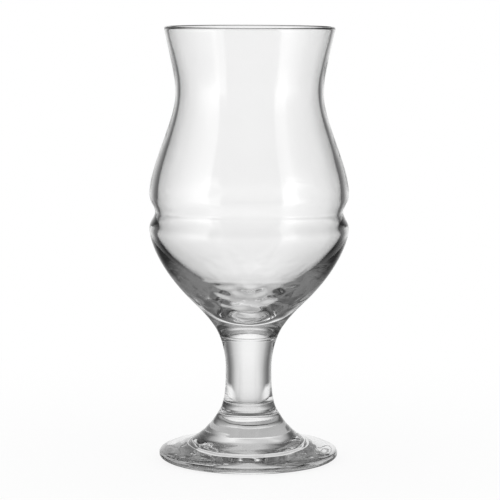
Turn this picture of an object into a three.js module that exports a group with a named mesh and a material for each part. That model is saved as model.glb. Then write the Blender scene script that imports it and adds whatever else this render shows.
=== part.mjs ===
import * as THREE from "three";

// Stemmed beer glass in three fused pieces of clear glass: a pressed foot, a solid stem and a blown bowl.
// Lengths are millimetres, +Z is up, and the origin is on the table under the middle of the foot.

// Foot: a pressed disc that stands on a flat ring round a shallow recess with a sloping step
const CONTACT_INNER_RADIUS = 24.8;
const CONTACT_RING_WIDTH = 10.6;
const RECESS_STEP_WIDTH = 3.3;
const RECESS_STEP_RISE = 1.5;
const RECESS_CROWN_RISE = 0.5;
const FOOT_RADIUS = 40.2;
const FOOT_EDGE_HEIGHT = 2.6;
const FOOT_SHOULDER_RADIUS = 36.8;
const FOOT_SHOULDER_RISE = 3.0;
const FOOT_COLLAR_RISE = 15.6;
const FOOT_TOP_LEAN = -4.2;

// Stem: solid, drawn in at its waist, and fused to the foot below and the bowl above
const FOOT_JOINT_RADIUS = 13.5;
const FOOT_JOINT_LEAN = -0.65;
const STEM_WAIST_RADIUS = 10.3;
const STEM_LOWER_LENGTH = 19.5;
const STEM_UPPER_LENGTH = 15.3;
const BOWL_JOINT_RADIUS = 13.2;
const BOWL_JOINT_LEAN = 0.4;

// Fused joints: each leaves a shallow groove round the outside
const SEAM_DEPTH = 0.12;
const SEAM_HALF_HEIGHT = 0.3;

// Bowl, outside: keel, lower bead, groove, upper bead, waist and flared mouth
const KEEL_RADIUS = 24.85;
const KEEL_RISE = 15;
const KEEL_LEAN = 1.04;
const LOWER_BEAD_RADIUS = 44.65;
const LOWER_BELLY_RISE = 33.2;
const GROOVE_RADIUS = 42.05;
const GROOVE_LOWER_RISE = 7.6;
const GROOVE_UPPER_RISE = 7.8;
const UPPER_BEAD_RADIUS = 44.6;
const SHOULDER_RISE = 44.6;
const WAIST_RADIUS = 33;
const MOUTH_RISE = 29.8;
const RIM_RADIUS = 38;
const RIM_LEAN = 0.21;
const LIP_RISE = 1.3;

// Bowl, wall: thin at the mouth and thicker towards the solid base
const RIM_WALL = 1.9;
const WAIST_WALL = 2.3;
const UPPER_BEAD_WALL = 3.7;
const GROOVE_WALL = 2.7;
const LOWER_BEAD_WALL = 3.6;
const BASE_THICKNESS = 10;
const HEEL_RADIUS = 30;
const HEEL_RISE = 19;
const HEEL_LOWER_LEAN = 1.18;
const HEEL_UPPER_LEAN = 1.02;

// Shape of each stretch of outline: how far it keeps the heading of its lower end and of its
// upper end before it bends, in parts of the distance between the two
const RECESS_CROWN_PULLS = [0.35, 0.35];
const RECESS_STEP_PULLS = [0.5, 0.5];
const FOOT_EDGE_PULLS = [0.4, 0.45];
const FOOT_COLLAR_PULLS = [0.43, 0.43];
const STEM_LOWER_PULLS = [0.3, 0.25];
const STEM_UPPER_PULLS = [0.33, 0.33];
const KEEL_PULLS = [0.15, 0.6];
const LOWER_BELLY_PULLS = [0.62, 0.08];
const GROOVE_LOWER_PULLS = [0.38, 0.34];
const GROOVE_UPPER_PULLS = [0.3, 0.4];
const SHOULDER_PULLS = [0.28, 0.26];
const MOUTH_PULLS = [0.28, 0.5];
const FLOOR_PULLS = [0.25, 0.4];
const HEEL_PULLS = [0.42, 0.23];
const GROOVE_INSIDE_PULLS = [0.4, 0.4];

// Fineness: faces round each piece, the longest facet along an outline, and the fewest in a stretch
const SIDES = 48;
const FACET_LENGTH = 4.6;
const FEWEST_FACETS = 4;

// Heights of the stations, each from the one below it
const SHOULDER_HEIGHT = FOOT_EDGE_HEIGHT + FOOT_SHOULDER_RISE;
const FOOT_JOINT_HEIGHT = SHOULDER_HEIGHT + FOOT_COLLAR_RISE;
const STEM_WAIST_HEIGHT = FOOT_JOINT_HEIGHT + STEM_LOWER_LENGTH;
const BOWL_JOINT_HEIGHT = STEM_WAIST_HEIGHT + STEM_UPPER_LENGTH;
const KEEL_HEIGHT = BOWL_JOINT_HEIGHT + KEEL_RISE;
const LOWER_BEAD_HEIGHT = KEEL_HEIGHT + LOWER_BELLY_RISE;
const GROOVE_HEIGHT = LOWER_BEAD_HEIGHT + GROOVE_LOWER_RISE;
const UPPER_BEAD_HEIGHT = GROOVE_HEIGHT + GROOVE_UPPER_RISE;
const WAIST_HEIGHT = UPPER_BEAD_HEIGHT + SHOULDER_RISE;
const RIM_HEIGHT = WAIST_HEIGHT + MOUTH_RISE;
const CAVITY_FLOOR_HEIGHT = BOWL_JOINT_HEIGHT + BASE_THICKNESS;
const HEEL_HEIGHT = CAVITY_FLOOR_HEIGHT + HEEL_RISE;

// A point of an outline. Its lean is the outward run for each unit of rise, and level marks a level stretch.
function station(radius, height, lean = 0) {
  const at = new THREE.Vector2(radius, height);
  const heading = new THREE.Vector2(lean, 1).normalize();
  return { at, heading };
}

function levelStation(radius, height) {
  return { at: new THREE.Vector2(radius, height), heading: new THREE.Vector2(1, 0) };
}

// A smooth stretch of outline that rises from one station to the next
function rise(low, high, [lowPull, highPull]) {
  const span = low.at.distanceTo(high.at);
  const afterLow = low.at.clone().addScaledVector(low.heading, lowPull * span);
  const beforeHigh = high.at.clone().addScaledVector(high.heading, -highPull * span);
  const curve = new THREE.CubicBezierCurve(low.at, afterLow, beforeHigh, high.at);
  return curve.getPoints(Math.max(FEWEST_FACETS, Math.ceil(span / FACET_LENGTH)));
}

// Part of an ellipse that turns anticlockwise between two angles in degrees, where 0 faces outwards
function round(centreRadius, centreHeight, halfWidth, halfHeight, from, to) {
  const start = THREE.MathUtils.degToRad(from);
  const end = THREE.MathUtils.degToRad(to);
  const arc = new THREE.EllipseCurve(centreRadius, centreHeight, halfWidth, halfHeight, start, end);
  return arc.getPoints(FEWEST_FACETS);
}

// One turned piece: its stretches are joined, each without the point that it shares with the one before.
function turned(name, material, stretches) {
  const outline = [];
  for (const point of stretches.flat()) {
    const last = outline[outline.length - 1];
    if (!last || last.distanceTo(point) > 1e-6) {
      outline.push(point);
    }
  }
  const geometry = new THREE.LatheGeometry(outline, SIDES);
  geometry.rotateX(Math.PI / 2);
  const mesh = new THREE.Mesh(geometry, material);
  mesh.name = name;
  return mesh;
}

function clearGlass() {
  return new THREE.MeshStandardMaterial({
    color: 0xf4f7f7,
    roughness: 0.03,
    metalness: 0,
    transparent: true,
    opacity: 0.35,
  });
}

// Stations that two pieces share, so that each joint's faces match
const footJoint = station(FOOT_JOINT_RADIUS, FOOT_JOINT_HEIGHT, FOOT_JOINT_LEAN);
const bowlJoint = station(BOWL_JOINT_RADIUS, BOWL_JOINT_HEIGHT, BOWL_JOINT_LEAN);

// The rim of a joint's face, drawn in from the outline by the groove that the fusing leaves
function seamFace(joint) {
  return new THREE.Vector2(joint.at.x - SEAM_DEPTH, joint.at.y);
}

// The outline's end beside a joint, where the groove starts
function seamEdge(joint, side) {
  const edge = joint.at.clone().addScaledVector(joint.heading, side * SEAM_HALF_HEIGHT);
  return { at: edge, heading: joint.heading };
}

const onAxis = (height) => new THREE.Vector2(0, height);

// Pressed foot: recessed underneath, round at its edge, and swept up to the collar of the stem
function makeFoot() {
  const contactOuterRadius = CONTACT_INNER_RADIUS + CONTACT_RING_WIDTH;
  const shoulder = station(FOOT_SHOULDER_RADIUS, SHOULDER_HEIGHT, FOOT_TOP_LEAN);
  const edge = station(FOOT_RADIUS, FOOT_EDGE_HEIGHT);
  const middle = levelStation(0, RECESS_STEP_RISE + RECESS_CROWN_RISE);
  const step = levelStation(CONTACT_INNER_RADIUS - RECESS_STEP_WIDTH, RECESS_STEP_RISE);
  const contact = levelStation(CONTACT_INNER_RADIUS, 0);
  const edgeWidth = FOOT_RADIUS - contactOuterRadius;
  const lowerEdge = round(contactOuterRadius, FOOT_EDGE_HEIGHT, edgeWidth, FOOT_EDGE_HEIGHT, -90, 0);
  return turned("foot", clearGlass(), [
    rise(middle, step, RECESS_CROWN_PULLS),
    rise(step, contact, RECESS_STEP_PULLS),
    lowerEdge,
    rise(edge, shoulder, FOOT_EDGE_PULLS),
    rise(shoulder, seamEdge(footJoint, -1), FOOT_COLLAR_PULLS),
    [seamFace(footJoint), onAxis(FOOT_JOINT_HEIGHT)],
  ]);
}

// Solid stem: narrowest at its waist, flared at both ends to the pieces that it is fused to
function makeStem() {
  const waist = station(STEM_WAIST_RADIUS, STEM_WAIST_HEIGHT);
  return turned("stem", clearGlass(), [
    [onAxis(FOOT_JOINT_HEIGHT), seamFace(footJoint)],
    rise(seamEdge(footJoint, 1), waist, STEM_LOWER_PULLS),
    rise(waist, seamEdge(bowlJoint, -1), STEM_UPPER_PULLS),
    [seamFace(bowlJoint), onAxis(BOWL_JOINT_HEIGHT)],
  ]);
}

// Blown bowl: a solid keel, a cavity that starts as a shallow cone and turns up at its heel, two beads
// with a groove between them, a drawn-in waist and a flared mouth with a fire-polished lip
function makeBowl() {
  const keel = station(KEEL_RADIUS, KEEL_HEIGHT, KEEL_LEAN);
  const lowerBead = station(LOWER_BEAD_RADIUS, LOWER_BEAD_HEIGHT);
  const groove = station(GROOVE_RADIUS, GROOVE_HEIGHT);
  const upperBead = station(UPPER_BEAD_RADIUS, UPPER_BEAD_HEIGHT);
  const waist = station(WAIST_RADIUS, WAIST_HEIGHT);
  const lipHeight = RIM_HEIGHT - LIP_RISE;
  const rim = station(RIM_RADIUS, lipHeight, RIM_LEAN);
  const outside = [
    rise(seamEdge(bowlJoint, 1), keel, KEEL_PULLS),
    rise(keel, lowerBead, LOWER_BELLY_PULLS),
    rise(lowerBead, groove, GROOVE_LOWER_PULLS),
    rise(groove, upperBead, GROOVE_UPPER_PULLS),
    rise(upperBead, waist, SHOULDER_PULLS),
    rise(waist, rim, MOUTH_PULLS),
  ];

  const floor = levelStation(0, CAVITY_FLOOR_HEIGHT);
  const belowHeel = station(HEEL_RADIUS, HEEL_HEIGHT, HEEL_LOWER_LEAN);
  const aboveHeel = station(HEEL_RADIUS, HEEL_HEIGHT, HEEL_UPPER_LEAN);
  const lowerBeadInside = station(LOWER_BEAD_RADIUS - LOWER_BEAD_WALL, LOWER_BEAD_HEIGHT);
  const grooveInside = station(GROOVE_RADIUS - GROOVE_WALL, GROOVE_HEIGHT);
  const upperBeadInside = station(UPPER_BEAD_RADIUS - UPPER_BEAD_WALL, UPPER_BEAD_HEIGHT);
  const waistInside = station(WAIST_RADIUS - WAIST_WALL, WAIST_HEIGHT);
  const rimInside = station(RIM_RADIUS - RIM_WALL, lipHeight, RIM_LEAN);
  const inside = [
    rise(floor, belowHeel, FLOOR_PULLS),
    rise(aboveHeel, lowerBeadInside, HEEL_PULLS),
    rise(lowerBeadInside, grooveInside, GROOVE_INSIDE_PULLS),
    rise(grooveInside, upperBeadInside, GROOVE_INSIDE_PULLS),
    rise(upperBeadInside, waistInside, SHOULDER_PULLS),
    rise(waistInside, rimInside, MOUTH_PULLS),
  ];

  const halfLip = RIM_WALL / 2;
  const lip = round(RIM_RADIUS - halfLip, lipHeight, halfLip, LIP_RISE, 0, 180);
  return turned("bowl", clearGlass(), [
    [onAxis(BOWL_JOINT_HEIGHT), seamFace(bowlJoint)],
    outside.flat(),
    lip,
    inside.flat().reverse(),
  ]);
}

const glass = new THREE.Group();
glass.name = "stemmed_beer_glass";
glass.add(makeFoot(), makeStem(), makeBowl());

export default glass;
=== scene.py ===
import math

import bmesh
import bpy
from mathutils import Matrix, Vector, noise


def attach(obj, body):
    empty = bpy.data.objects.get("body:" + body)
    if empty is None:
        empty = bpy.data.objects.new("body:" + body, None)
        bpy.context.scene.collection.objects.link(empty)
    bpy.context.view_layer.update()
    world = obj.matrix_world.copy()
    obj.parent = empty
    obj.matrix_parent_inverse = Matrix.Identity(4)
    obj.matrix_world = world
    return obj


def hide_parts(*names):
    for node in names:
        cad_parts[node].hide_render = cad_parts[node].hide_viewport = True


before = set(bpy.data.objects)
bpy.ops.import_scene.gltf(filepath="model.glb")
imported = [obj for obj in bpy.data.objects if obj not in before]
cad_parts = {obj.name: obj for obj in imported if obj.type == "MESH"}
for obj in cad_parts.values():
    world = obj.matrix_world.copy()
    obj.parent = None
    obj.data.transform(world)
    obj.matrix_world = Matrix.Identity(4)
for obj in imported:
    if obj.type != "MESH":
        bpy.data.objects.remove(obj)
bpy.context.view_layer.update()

# Camera: a long lens just above the height of the rim and tipped down by six and a half degrees, so
# that the rim closes to a thin ellipse while the foot is seen more from above.
CAMERA_PLACE = (0.00045, -1.030, 0.2131)
CAMERA_DIP = 6.574
CAMERA_ROLL = 0.2
CAMERA_LENS = 166.9
SENSOR_WIDTH = 36
camera_data = bpy.data.cameras.new("camera")
camera_data.sensor_width = SENSOR_WIDTH
camera_data.lens = CAMERA_LENS
camera = bpy.data.objects.new("camera", camera_data)
camera.location = CAMERA_PLACE
camera.rotation_euler = (math.radians(90 - CAMERA_DIP), 0, 0)
camera.rotation_euler.rotate_axis("Z", math.radians(CAMERA_ROLL))
bpy.context.scene.collection.objects.link(camera)
bpy.context.scene.camera = camera

# Foot: a pressed disc of clear glass with a round edge. It stands on a flat ring round a shallow
# recess. Its top sweeps up to a collar, where the stem is fused on while both are hot.
# Pressing leaves faint uneven rings and slow waves in its top.
MM = 0.001
RECESS_CROWN_HEIGHT = 2.0 * MM
RECESS_STEP_RADIUS = 21.5 * MM
RECESS_STEP_HEIGHT = 1.5 * MM
CONTACT_INNER_RADIUS = 24.8 * MM
CONTACT_OUTER_RADIUS = 35.4 * MM
FOOT_RADIUS = 40.2 * MM
FOOT_EDGE_HEIGHT = 2.6 * MM
FOOT_SHOULDER_RADIUS = 36.8 * MM
FOOT_SHOULDER_HEIGHT = 5.6 * MM
FOOT_TOP_LEAN = -4.2
FOOT_JOINT_RADIUS = 13.5 * MM
FOOT_JOINT_HEIGHT = 21.2 * MM
FOOT_JOINT_LEAN = -0.65
SEAM_DEPTH = 0.12 * MM
SEAM_HALF_HEIGHT = 0.3 * MM
RECESS_CROWN_PULLS = (0.35, 0.35)
RECESS_STEP_PULLS = (0.5, 0.5)
FOOT_EDGE_PULLS = (0.4, 0.45)
FOOT_COLLAR_PULLS = (0.43, 0.43)
FACES_ROUND = 192
OUTLINE_STEP = 0.7 * MM
FEWEST_STEPS = 8
EDGE_STEPS = 12
SAME_PLACE = 0.0001 * MM
HEIGHT_PLACES = 7
GLASS_IOR = 1.52


def station(radius, height, lean=0.0):
    return Vector((radius, height)), Vector((lean, 1)).normalized()


def level_station(radius, height):
    return Vector((radius, height)), Vector((1, 0))


def rise(low, high, pulls):
    (a, heading_a), (d, heading_d) = low, high
    low_pull, high_pull = pulls
    span = (d - a).length
    b = a + heading_a * low_pull * span
    c = d - heading_d * high_pull * span
    steps = max(FEWEST_STEPS, round(span / OUTLINE_STEP))
    points = []
    for i in range(steps + 1):
        t = i / steps
        s = 1 - t
        points.append(a * s**3 + b * 3 * s * s * t + c * 3 * s * t * t + d * t**3)
    return points


def round_edge(centre, half_width, half_height, start, end):
    points = []
    for i in range(EDGE_STEPS + 1):
        angle = math.radians(start + (end - start) * i / EDGE_STEPS)
        offset = Vector((half_width * math.cos(angle), half_height * math.sin(angle)))
        points.append(centre + offset)
    return points


def seam_edge(joint, side):
    at, heading = joint
    return at + heading * side * SEAM_HALF_HEIGHT, heading


def seam_face(joint):
    return joint[0] - Vector((SEAM_DEPTH, 0))


def turned(name, stretches, joint_heights):
    joint_heights = {round(height, HEIGHT_PLACES) for height in joint_heights}
    outline = []
    for point in [p for stretch in stretches for p in stretch]:
        if not outline or (outline[-1] - point).length > SAME_PLACE:
            outline.append(point)
    bm = bmesh.new()
    rings = []
    for radius, height in outline:
        if radius < SAME_PLACE:
            rings.append([bm.verts.new((0, 0, height))])
            continue
        ring = []
        for i in range(FACES_ROUND):
            angle = 2 * math.pi * i / FACES_ROUND
            ring.append(bm.verts.new((radius * math.cos(angle), radius * math.sin(angle), height)))
        rings.append(ring)
    for lower, upper in zip(rings, rings[1:]):
        for i in range(FACES_ROUND):
            j = (i + 1) % FACES_ROUND
            side_below = (lower[i % len(lower)], lower[j % len(lower)])
            side_above = (upper[j % len(upper)], upper[i % len(upper)])
            face = bm.faces.new(dict.fromkeys(side_below + side_above))
            heights = {round(corner.co.z, HEIGHT_PLACES) for corner in face.verts}
            at_joint = len(heights) == 1 and heights <= joint_heights
            face.smooth = not at_joint
            face.material_index = 1 if at_joint else 0
    bmesh.ops.recalc_face_normals(bm, faces=bm.faces)
    mesh = bpy.data.meshes.new(name)
    bm.to_mesh(mesh)
    bm.free()
    piece = bpy.data.objects.new(name, mesh)
    bpy.context.scene.collection.objects.link(piece)
    return piece


def shift_surface(piece, inward):
    mesh = piece.data
    places = [(vertex.co.copy(), vertex.normal.copy()) for vertex in mesh.vertices]
    for vertex, (at, out) in zip(mesh.vertices, places):
        vertex.co = at - out * inward(at, out)
    mesh.update()


def fading(value, none_at, full_at):
    share = min(1, max(0, (value - none_at) / (full_at - none_at)))
    return share * share * (3 - 2 * share)


def waves(at, length, seed):
    return 0.5 + 0.5 * noise.noise(at / length + Vector((seed, seed, seed)))


def glass(name, clearness, streak_length, streak_depth):
    material = bpy.data.materials.new(name)
    material.use_nodes = True
    nodes, links = material.node_tree.nodes, material.node_tree.links
    shader = nodes["Principled BSDF"]
    shader.inputs["Base Color"].default_value = (clearness, clearness, clearness, 1)
    shader.inputs["Roughness"].default_value = 0.0
    shader.inputs["IOR"].default_value = GLASS_IOR
    shader.inputs["Transmission Weight"].default_value = 1
    place = nodes.new("ShaderNodeTexCoord")
    streaks = nodes.new("ShaderNodeTexNoise")
    streaks.inputs["Scale"].default_value = 1 / streak_length
    streaks.inputs["Detail"].default_value = 1
    links.new(place.outputs["Object"], streaks.inputs["Vector"])
    bump = nodes.new("ShaderNodeBump")
    bump.inputs["Strength"].default_value = 1
    bump.inputs["Distance"].default_value = streak_depth
    links.new(streaks.outputs["Fac"], bump.inputs["Height"])
    links.new(bump.outputs["Normal"], shader.inputs["Normal"])
    return material


def fused_face():
    material = bpy.data.materials.new("fused_face")
    material.use_nodes = True
    nodes, links = material.node_tree.nodes, material.node_tree.links
    nodes.remove(nodes["Principled BSDF"])
    clear = nodes.new("ShaderNodeBsdfTransparent")
    links.new(clear.outputs[0], nodes["Material Output"].inputs["Surface"])
    return material


foot_joint = station(FOOT_JOINT_RADIUS, FOOT_JOINT_HEIGHT, FOOT_JOINT_LEAN)
recess_middle = level_station(0, RECESS_CROWN_HEIGHT)
recess_step = level_station(RECESS_STEP_RADIUS, RECESS_STEP_HEIGHT)
foot_edge = station(FOOT_RADIUS, FOOT_EDGE_HEIGHT)
foot_shoulder = station(FOOT_SHOULDER_RADIUS, FOOT_SHOULDER_HEIGHT, FOOT_TOP_LEAN)
edge_centre = Vector((CONTACT_OUTER_RADIUS, FOOT_EDGE_HEIGHT))
foot = turned(
    "pressed_foot",
    [
        rise(recess_middle, recess_step, RECESS_CROWN_PULLS),
        rise(recess_step, level_station(CONTACT_INNER_RADIUS, 0), RECESS_STEP_PULLS),
        round_edge(edge_centre, FOOT_RADIUS - CONTACT_OUTER_RADIUS, FOOT_EDGE_HEIGHT, -90, 0),
        rise(foot_edge, foot_shoulder, FOOT_EDGE_PULLS),
        rise(foot_shoulder, seam_edge(foot_joint, -1), FOOT_COLLAR_PULLS),
        [seam_face(foot_joint), Vector((0, FOOT_JOINT_HEIGHT))],
    ],
    [FOOT_JOINT_HEIGHT],
)
FOOT_WAVE_DEPTH = 0.25 * MM
FOOT_WAVE_LENGTH = 9 * MM
FOOT_WAVE_SEED = 3
PRESS_RING_DEPTH = 0.07 * MM
PRESS_RING_SPACING = 3.0 * MM
PRESS_RING_WANDER = 2 * MM
PRESS_RING_WANDER_LENGTH = 16 * MM
PRESS_RING_WANDER_SEED = 21
RECESS_WAVE_DEPTH = 0.6 * MM
RECESS_WAVE_LENGTH = 8 * MM
RECESS_WAVE_SEED = 33
RECESS_BLEND = 2 * MM
WAVE_BLEND = 4 * MM
UPRIGHT_WITHIN = 0.1
PRESSED_CLEARNESS = 0.93
PRESSED_STREAK_LENGTH = 3 * MM
PRESSED_STREAK_DEPTH = 0.002 * MM


def foot_inward(at, out):
    radius = math.hypot(at.x, at.y)
    if out.z < -UPRIGHT_WITHIN:
        in_recess = fading(radius, CONTACT_INNER_RADIUS, CONTACT_INNER_RADIUS - RECESS_BLEND)
        return RECESS_WAVE_DEPTH * waves(at, RECESS_WAVE_LENGTH, RECESS_WAVE_SEED) * in_recess
    if out.z < UPRIGHT_WITHIN:
        return 0
    on_top = fading(radius, FOOT_SHOULDER_RADIUS, FOOT_SHOULDER_RADIUS - WAVE_BLEND)
    below_joint = fading(at.z, FOOT_JOINT_HEIGHT - SEAM_HALF_HEIGHT, FOOT_JOINT_HEIGHT - WAVE_BLEND)
    wander = PRESS_RING_WANDER * waves(at, PRESS_RING_WANDER_LENGTH, PRESS_RING_WANDER_SEED)
    ring = 0.5 + 0.5 * math.cos(2 * math.pi * (radius + wander) / PRESS_RING_SPACING)
    depth = FOOT_WAVE_DEPTH * waves(at, FOOT_WAVE_LENGTH, FOOT_WAVE_SEED) + PRESS_RING_DEPTH * ring
    return depth * on_top * below_joint


shift_surface(foot, foot_inward)
pressed_glass = glass("pressed_glass", PRESSED_CLEARNESS, PRESSED_STREAK_LENGTH, PRESSED_STREAK_DEPTH)
joint_face = fused_face()
foot.data.materials.append(pressed_glass)
foot.data.materials.append(joint_face)
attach(foot, "root")
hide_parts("foot")

# Stem: a solid drawn rod of the same clear glass, slimmest at its middle and flared at both ends.
# It is fused to the foot's collar below and to the bowl's base above, each with a thin seam line.
STEM_WAIST_RADIUS = 10.3 * MM
STEM_WAIST_HEIGHT = 40.7 * MM
BOWL_JOINT_RADIUS = 13.2 * MM
BOWL_JOINT_HEIGHT = 56.0 * MM
BOWL_JOINT_LEAN = 0.4
STEM_LOWER_PULLS = (0.3, 0.25)
STEM_UPPER_PULLS = (0.33, 0.33)
STEM_WAVE_DEPTH = 0.06 * MM
STEM_WAVE_LENGTH = 7 * MM
STEM_WAVE_SEED = 11
DRAWN_CLEARNESS = 0.93
DRAWN_STREAK_LENGTH = 5 * MM
DRAWN_STREAK_DEPTH = 0.01 * MM
stem_waist = station(STEM_WAIST_RADIUS, STEM_WAIST_HEIGHT)
bowl_joint = station(BOWL_JOINT_RADIUS, BOWL_JOINT_HEIGHT, BOWL_JOINT_LEAN)
stem = turned(
    "solid_stem",
    [
        [Vector((0, FOOT_JOINT_HEIGHT)), seam_face(foot_joint)],
        rise(seam_edge(foot_joint, 1), stem_waist, STEM_LOWER_PULLS),
        rise(stem_waist, seam_edge(bowl_joint, -1), STEM_UPPER_PULLS),
        [seam_face(bowl_joint), Vector((0, BOWL_JOINT_HEIGHT))],
    ],
    [FOOT_JOINT_HEIGHT, BOWL_JOINT_HEIGHT],
)


def stem_inward(at, out):
    above_foot = fading(at.z, FOOT_JOINT_HEIGHT + SEAM_HALF_HEIGHT, FOOT_JOINT_HEIGHT + WAVE_BLEND)
    below_bowl = fading(at.z, BOWL_JOINT_HEIGHT - SEAM_HALF_HEIGHT, BOWL_JOINT_HEIGHT - WAVE_BLEND)
    return STEM_WAVE_DEPTH * waves(at, STEM_WAVE_LENGTH, STEM_WAVE_SEED) * above_foot * below_bowl


shift_surface(stem, stem_inward)
drawn_glass = glass("drawn_glass", DRAWN_CLEARNESS, DRAWN_STREAK_LENGTH, DRAWN_STREAK_DEPTH)
stem.data.materials.append(drawn_glass)
stem.data.materials.append(joint_face)
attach(stem, "root")
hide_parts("stem")

# Bowl: one blown piece of clear glass, thick and solid at the bottom and thinner towards the rim.
# Two soft beads with a groove between them run round its belly, and its lip is fire-polished round.
# Its hollow ends in a shallow cone, whose surface is left wavy where the glass is thickest.
KEEL_RADIUS = 24.85 * MM
KEEL_HEIGHT = 71 * MM
KEEL_LEAN = 1.04
LOWER_BEAD_RADIUS = 44.65 * MM
LOWER_BEAD_HEIGHT = 104.2 * MM
GROOVE_RADIUS = 42.05 * MM
GROOVE_HEIGHT = 111.8 * MM
UPPER_BEAD_RADIUS = 44.6 * MM
UPPER_BEAD_HEIGHT = 119.6 * MM
WAIST_RADIUS = 33.0 * MM
WAIST_HEIGHT = 164.2 * MM
RIM_RADIUS = 38 * MM
RIM_HEIGHT = 194 * MM
RIM_LEAN = 0.21
LIP_RISE = 1.3 * MM
LIP_HEIGHT = RIM_HEIGHT - LIP_RISE
LOWER_BEAD_WALL = 3.6 * MM
GROOVE_WALL = 2.7 * MM
UPPER_BEAD_WALL = 3.7 * MM
WAIST_WALL = 2.3 * MM
RIM_WALL = 1.9 * MM
HOLLOW_BOTTOM_HEIGHT = 66 * MM
HEEL_RADIUS = 30 * MM
HEEL_HEIGHT = 85 * MM
HEEL_LOWER_LEAN = 1.18
HEEL_UPPER_LEAN = 1.02
KEEL_PULLS = (0.15, 0.6)
LOWER_BELLY_PULLS = (0.62, 0.08)
GROOVE_LOWER_PULLS = (0.38, 0.34)
GROOVE_UPPER_PULLS = (0.3, 0.4)
SHOULDER_PULLS = (0.28, 0.26)
MOUTH_PULLS = (0.28, 0.5)
HOLLOW_BOTTOM_PULLS = (0.25, 0.4)
HEEL_PULLS = (0.42, 0.23)
GROOVE_INSIDE_PULLS = (0.4, 0.4)


def inside(outer, wall):
    return outer[0] - Vector((wall, 0)), outer[1]


keel = station(KEEL_RADIUS, KEEL_HEIGHT, KEEL_LEAN)
lower_bead = station(LOWER_BEAD_RADIUS, LOWER_BEAD_HEIGHT)
groove = station(GROOVE_RADIUS, GROOVE_HEIGHT)
upper_bead = station(UPPER_BEAD_RADIUS, UPPER_BEAD_HEIGHT)
waist = station(WAIST_RADIUS, WAIST_HEIGHT)
rim = station(RIM_RADIUS, LIP_HEIGHT, RIM_LEAN)
bowl_outside = [
    rise(seam_edge(bowl_joint, 1), keel, KEEL_PULLS),
    rise(keel, lower_bead, LOWER_BELLY_PULLS),
    rise(lower_bead, groove, GROOVE_LOWER_PULLS),
    rise(groove, upper_bead, GROOVE_UPPER_PULLS),
    rise(upper_bead, waist, SHOULDER_PULLS),
    rise(waist, rim, MOUTH_PULLS),
]
hollow_bottom = level_station(0, HOLLOW_BOTTOM_HEIGHT)
below_heel = station(HEEL_RADIUS, HEEL_HEIGHT, HEEL_LOWER_LEAN)
above_heel = station(HEEL_RADIUS, HEEL_HEIGHT, HEEL_UPPER_LEAN)
lower_bead_inside = inside(lower_bead, LOWER_BEAD_WALL)
groove_inside = inside(groove, GROOVE_WALL)
upper_bead_inside = inside(upper_bead, UPPER_BEAD_WALL)
waist_inside = inside(waist, WAIST_WALL)
bowl_inside = [
    rise(hollow_bottom, below_heel, HOLLOW_BOTTOM_PULLS),
    rise(above_heel, lower_bead_inside, HEEL_PULLS),
    rise(lower_bead_inside, groove_inside, GROOVE_INSIDE_PULLS),
    rise(groove_inside, upper_bead_inside, GROOVE_INSIDE_PULLS),
    rise(upper_bead_inside, waist_inside, SHOULDER_PULLS),
    rise(waist_inside, inside(rim, RIM_WALL), MOUTH_PULLS),
]
lip_centre = rim[0] - Vector((RIM_WALL / 2, 0))
going_down = [p for stretch in bowl_inside for p in stretch][::-1]
bowl = turned(
    "blown_bowl",
    [[Vector((0, BOWL_JOINT_HEIGHT)), seam_face(bowl_joint)]]
    + bowl_outside
    + [round_edge(lip_centre, RIM_WALL / 2, LIP_RISE, 0, 180), going_down],
    [BOWL_JOINT_HEIGHT],
)
BOTTOM_WAVE_DEPTH = 0.4 * MM
BOTTOM_WAVE_LENGTH = 5 * MM
BOTTOM_WAVE_SEED = 8
BOTTOM_WAVES_FROM = HEEL_HEIGHT + 1 * MM
BOTTOM_WAVES_FULL = HEEL_HEIGHT - 3 * MM
FACES_UP = 0.5
WALL_WAVE_DEPTH = 0.05 * MM
WALL_WAVE_LENGTH = 12 * MM
WALL_WAVE_SEED = 5
WAVES_BEGIN = BOWL_JOINT_HEIGHT + SEAM_HALF_HEIGHT
WAVES_FULL_FROM = BOWL_JOINT_HEIGHT + 6 * MM
WAVES_FULL_UNTIL = RIM_HEIGHT - 10 * MM
WAVES_END = RIM_HEIGHT - 2 * LIP_RISE
LIP_STANDS_OUT = 0.05 * MM
LIP_BLEND = 0.7 * MM
UNDER_LIP_FROM = LIP_HEIGHT - 16 * MM
UNDER_LIP_FULL = LIP_HEIGHT - 3 * MM
BLOWN_CLEARNESS = 1
BLOWN_STREAK_LENGTH = 8 * MM
BLOWN_STREAK_DEPTH = 0.01 * MM


def bowl_inward(at, out):
    above_joint = fading(at.z, WAVES_BEGIN, WAVES_FULL_FROM)
    below_lip = fading(at.z, WAVES_END, WAVES_FULL_UNTIL)
    depth = WALL_WAVE_DEPTH * waves(at, WALL_WAVE_LENGTH, WALL_WAVE_SEED)
    under_lip = fading(at.z, LIP_HEIGHT + LIP_BLEND, LIP_HEIGHT - LIP_BLEND)
    under_lip *= fading(at.z, UNDER_LIP_FROM, UNDER_LIP_FULL)
    in_hollow = out.x * at.x + out.y * at.y < 0 or out.z > FACES_UP
    if in_hollow:
        in_bottom = fading(at.z, BOTTOM_WAVES_FROM, BOTTOM_WAVES_FULL)
        depth += BOTTOM_WAVE_DEPTH * in_bottom * waves(at, BOTTOM_WAVE_LENGTH, BOTTOM_WAVE_SEED)
    return depth * above_joint * below_lip + LIP_STANDS_OUT * under_lip


shift_surface(bowl, bowl_inward)
blown_glass = glass("blown_glass", BLOWN_CLEARNESS, BLOWN_STREAK_LENGTH, BLOWN_STREAK_DEPTH)
bowl.data.materials.append(blown_glass)
bowl.data.materials.append(joint_face)
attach(bowl, "root")
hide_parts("bowl")

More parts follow.
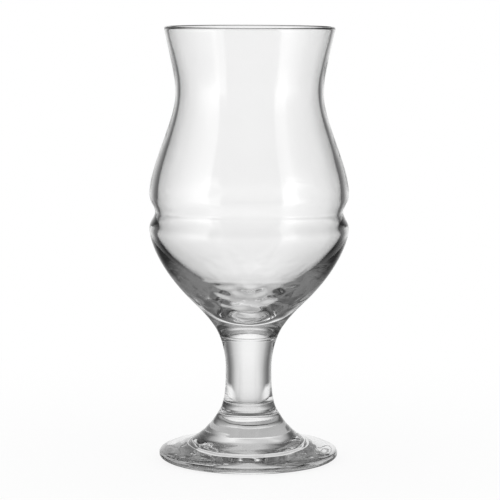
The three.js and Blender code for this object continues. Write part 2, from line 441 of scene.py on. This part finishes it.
# Floor: a plain sheet of white paper that the glass stands on. It shows the shadow near the glass
# and turns pure white further out. In the glass only light that has bounced two or three times sees
# it, close round the foot, where it glows with painted light: a pool brighter towards the right and
# painted shade towards the left.
FLOOR_RADIUS = 1.2
FLOOR_SIDES = 96
PAPER_COLOUR = (0.92, 0.92, 0.92, 1)
PAPER_ROUGHNESS = 0.9
PAPER_GLOW = 0.86
SHADOW_FADES_FROM = 0.05
SHADOW_GONE_AT = 0.30
SEEN_AFTER_BOUNCES = 1.5
SEEN_BEFORE_BOUNCES = 3.5
SEEN_UNTIL = 0.04
UNSEEN_FROM = 0.07
LEFT_END = -0.04
LEFT_LIGHT = 0.1
RIGHT_END = 0.04
RIGHT_LIGHT = 0.9
floor_mesh = bpy.data.meshes.new("floor")
bm = bmesh.new()
bmesh.ops.create_circle(bm, cap_ends=True, radius=FLOOR_RADIUS, segments=FLOOR_SIDES)
bm.to_mesh(floor_mesh)
bm.free()
floor = bpy.data.objects.new("floor", floor_mesh)
bpy.context.scene.collection.objects.link(floor)


def math_of(operation, *values):
    node = nodes.new("ShaderNodeMath")
    node.operation = operation
    for socket, value in zip(node.inputs, values):
        if isinstance(value, (int, float)):
            socket.default_value = value
        else:
            links.new(value, socket)
    return node.outputs[0]


def ranged(value, start, end, start_level, end_level, interpolation="SMOOTHSTEP"):
    node = nodes.new("ShaderNodeMapRange")
    node.interpolation_type = interpolation
    limits = (start, end, start_level, end_level)
    for socket, limit in zip(("From Min", "From Max", "To Min", "To Max"), limits):
        node.inputs[socket].default_value = limit
    links.new(value, node.inputs["Value"])
    return node.outputs["Result"]


def blend(share, first, second):
    node = nodes.new("ShaderNodeMixShader")
    for socket, value in zip(node.inputs, (share, first, second)):
        links.new(value, socket)
    return node.outputs[0]


paper = bpy.data.materials.new("white_paper")
paper.use_nodes = True
nodes, links = paper.node_tree.nodes, paper.node_tree.links
shader = nodes["Principled BSDF"]
shader.inputs["Base Color"].default_value = PAPER_COLOUR
shader.inputs["Roughness"].default_value = PAPER_ROUGHNESS
ray = nodes.new("ShaderNodeLightPath")
place = nodes.new("ShaderNodeNewGeometry")
split = nodes.new("ShaderNodeSeparateXYZ")
links.new(place.outputs["Position"], split.inputs[0])
distance = nodes.new("ShaderNodeVectorMath")
distance.operation = "LENGTH"
links.new(place.outputs["Position"], distance.inputs[0])
distance = distance.outputs["Value"]
white = nodes.new("ShaderNodeEmission")
whiteness = ranged(distance, SHADOW_FADES_FROM, SHADOW_GONE_AT, PAPER_GLOW, 1)
for_camera = math_of("MULTIPLY", ray.outputs["Is Camera Ray"], whiteness)
paper_or_white = blend(for_camera, shader.outputs[0], white.outputs[0])
# Painted light seen in the glass: close round the foot the paper glows, a painted pool of light
# brighter towards the right, with painted shade towards the left.
painted_light_near_foot = nodes.new("ShaderNodeEmission")
from_left = split.outputs["X"]
light_under = ranged(from_left, LEFT_END, RIGHT_END, LEFT_LIGHT, RIGHT_LIGHT, "LINEAR")
links.new(light_under, painted_light_near_foot.inputs["Strength"])
clear = nodes.new("ShaderNodeBsdfTransparent")
too_direct = math_of("LESS_THAN", ray.outputs["Glossy Depth"], SEEN_AFTER_BOUNCES)
too_deep = math_of("GREATER_THAN", ray.outputs["Glossy Depth"], SEEN_BEFORE_BOUNCES)
too_far = ranged(distance, SEEN_UNTIL, UNSEEN_FROM, 0, 1)
unseen = math_of("MAXIMUM", math_of("MAXIMUM", too_direct, too_deep), too_far)
in_glass = blend(unseen, painted_light_near_foot.outputs[0], clear.outputs[0])
from_glass = math_of("MAXIMUM", ray.outputs["Is Glossy Ray"], ray.outputs["Is Transmission Ray"])
links.new(blend(from_glass, paper_or_white, in_glass), nodes["Material Output"].inputs["Surface"])
floor_mesh.materials.append(paper)

# Studio: white all round for the camera and the paper. Through the glass stand bright screens whose
# dark gaps draw its edges, and softboxes at both sides of the camera glint on it. Light that has
# bounced often inside the thick glass comes out of a dark surround instead.

# Each pair is a place and the value there. A place is an angle in degrees, from the middle of the
# nearest screen or from the camera round to the right, or a height from -1 for straight down to 1 for
# straight up, or a number of bounces.
SCREEN_COUNT = 4
SCREENS = (
    (0, 1.04),
    (8, 1.02),
    (14, 0.92),
    (19, 0.80),
    (24, 0.70),
    (28, 0.58),
    (32, 0.42),
    (37, 0.30),
    (45, 0.18),
)
LOW_SCREEN_COUNT = 8
LOW_SCREENS = ((0, 1.04), (9, 1.02), (14, 0.94), (18, 0.8), (22.5, 0.66))
LOW_BELOW = ((0, 0.10), (75, 0.10), (95, 0.25), (143, 0.25), (158, 0.34), (180, 0.34))
LOW_BLEND = 0.06
ASIDE_BY_HEIGHT = ((-1, 0.40), (-0.75, 0.70), (-0.6, 1.0), (-0.5, 1.0), (1, 1.0))
BEHIND_BY_SIDE = ((0, 0), (140, 0), (155, 1), (180, 1))
BEHIND_BY_HEIGHT = (
    (-1, 0.40),
    (-0.7, 0.50),
    (-0.5, 0.70),
    (-0.44, 0.78),
    (-0.38, 0.82),
    (-0.3, 0.88),
    (-0.2, 0.94),
    (-0.12, 0.98),
    (-0.06, 1.0),
    (1, 1.0),
)
SOFTBOXES = (
    (-180, 1.0),
    (-168, 1.0),
    (-158, 0.6),
    (-148, 0.16),
    (-128, 0.08),
    (-100, 0.03),
    (-80, 0.8),
    (-66, 1.5),
    (-54, 1.6),
    (-50, 1.4),
    (-47, 0.06),
    (0, 0.03),
    (38, 0.06),
    (41, 1.2),
    (56, 1.3),
    (62, 0.4),
    (75, 0.05),
    (100, 0.03),
    (128, 0.08),
    (148, 0.16),
    (158, 0.6),
    (168, 1.0),
    (180, 1.0),
)
SOFTBOX_BY_HEIGHT = (
    (-1, 0.20),
    (-0.6, 0.12),
    (-0.45, 0.14),
    (-0.3, 0.4),
    (-0.15, 1.0),
    (0.15, 1.0),
    (0.45, 0.6),
    (1, 0.6),
)
UNDERNEATH = ((-1, 0.85), (-0.93, 0.75), (-0.85, 0.35), (-0.75, 0.12), (-0.6, 0.0), (1, 0.0))
OVERHEAD_BY_HEIGHT = ((-1, 0), (0.1, 0), (0.5, 0.1), (1, 0.5))
OVERHEAD_BY_SIDE = ((0, 1), (48, 1), (65, 0.25), (90, 0.25), (105, 1), (180, 1))
MOST_BOUNCES = 10
BOUNCE_DIMMING = ((0, 1.0), (2, 1.0), (3, 0.8), (4, 0.6), (7, 0.4), (10, 0.25))
OVERHEAD_BY_BOUNCES = ((0, 1), (4, 1), (5.5, 0), (10, 0))
DEEP_BY_BOUNCES = ((0, 0), (4, 0), (6, 1), (10, 1))
DEEP_SURROUND = (
    (0, 0.012),
    (25, 0.015),
    (42, 0.025),
    (52, 0.038),
    (58, 0.055),
    (66, 0.085),
    (75, 0.13),
    (85, 0.18),
    (100, 0.22),
    (180, 0.22),
)
studio = bpy.data.worlds.new("studio")
studio.use_nodes = True
bpy.context.scene.world = studio
nodes, links = studio.node_tree.nodes, studio.node_tree.links
ray = nodes.new("ShaderNodeLightPath")
place = nodes.new("ShaderNodeNewGeometry")
split = nodes.new("ShaderNodeSeparateXYZ")
links.new(place.outputs["Position"], split.inputs[0])
across, along, up = split.outputs


def level_at(share, stops):
    node = nodes.new("ShaderNodeValToRGB")
    elements = node.color_ramp.elements
    while len(elements) > 1:
        elements.remove(elements[-1])
    low, high = stops[0][0], stops[-1][0]
    for i, (at, level) in enumerate(stops):
        position = (at - low) / (high - low)
        element = elements[0] if i == 0 else elements.new(position)
        element.position = position
        element.color = (level, level, level, 1)
    links.new(share, node.inputs["Fac"])
    return node.outputs["Color"]


def away_from_nearest(screens_round):
    part = math_of("FRACT", math_of("ADD", math_of("MULTIPLY", turn_share, screens_round), 0.5))
    return math_of("MULTIPLY", math_of("ABSOLUTE", math_of("SUBTRACT", part, 0.5)), 2)


def mixed(share, first, second):
    node = nodes.new("ShaderNodeMixRGB")
    for socket, value in zip(node.inputs, (share, first, second)):
        if isinstance(value, tuple):
            socket.default_value = value
        else:
            links.new(value, socket)
    return node.outputs[0]


turn = math_of("ARCTAN2", across, math_of("MULTIPLY", along, -1))
turn_share = math_of("ADD", math_of("DIVIDE", turn, 2 * math.pi), 0.5)
height_share = math_of("MULTIPLY_ADD", up, 0.5, 0.5)
aside_share = math_of("DIVIDE", math_of("ABSOLUTE", turn), math.pi)
lowness = math_of("SUBTRACT", math_of("MULTIPLY", up, -1), level_at(aside_share, LOW_BELOW))
low_share = math_of("MINIMUM", math_of("MAXIMUM", math_of("DIVIDE", lowness, LOW_BLEND), 0), 1)
level_screens = level_at(away_from_nearest(SCREEN_COUNT), SCREENS)
low_screens = level_at(away_from_nearest(LOW_SCREEN_COUNT), LOW_SCREENS)
under = level_at(height_share, UNDERNEATH)
blended_screens = mixed(low_share, level_screens, low_screens)
aside_level = level_at(height_share, ASIDE_BY_HEIGHT)
behind_level = level_at(height_share, BEHIND_BY_HEIGHT)
screen_level = mixed(level_at(aside_share, BEHIND_BY_SIDE), aside_level, behind_level)
screens = math_of("MULTIPLY", blended_screens, screen_level)
seen_through = math_of("MAXIMUM", screens, under)
softbox_level = level_at(height_share, SOFTBOX_BY_HEIGHT)
softboxes = math_of("MULTIPLY", level_at(turn_share, SOFTBOXES), softbox_level)
bounces_share = math_of("DIVIDE", ray.outputs["Glossy Depth"], MOST_BOUNCES)
overhead = level_at(height_share, OVERHEAD_BY_HEIGHT)
overhead = math_of("MULTIPLY", overhead, level_at(aside_share, OVERHEAD_BY_SIDE))
overhead = math_of("MULTIPLY", overhead, level_at(bounces_share, OVERHEAD_BY_BOUNCES))
dimming = level_at(bounces_share, BOUNCE_DIMMING)
near_surface = math_of("MULTIPLY", math_of("MAXIMUM", softboxes, under), dimming)
dimmed_under = math_of("MULTIPLY", under, dimming)
deep_inside = math_of("MAXIMUM", level_at(aside_share, DEEP_SURROUND), dimmed_under)
by_depth = mixed(level_at(bounces_share, DEEP_BY_BOUNCES), near_surface, deep_inside)
seen_in_reflection = math_of("MAXIMUM", by_depth, overhead)
reflected = math_of("GREATER_THAN", ray.outputs["Glossy Depth"], 0.5)
for_glass = mixed(reflected, seen_through, seen_in_reflection)
plain_white = math_of("MAXIMUM", ray.outputs["Is Camera Ray"], ray.outputs["Is Diffuse Ray"])
links.new(mixed(plain_white, for_glass, (1, 1, 1, 1)), nodes["Background"].inputs["Color"])

# Light that is caught in the thick bottom of the bowl bounces many times before it leaves
LIGHT_BOUNCES = 32
GLASS_BOUNCES = 24
bpy.context.scene.cycles.max_bounces = LIGHT_BOUNCES
bpy.context.scene.cycles.glossy_bounces = GLASS_BOUNCES
bpy.context.scene.cycles.transmission_bounces = GLASS_BOUNCES
bpy.context.scene.view_settings.view_transform = "Standard"
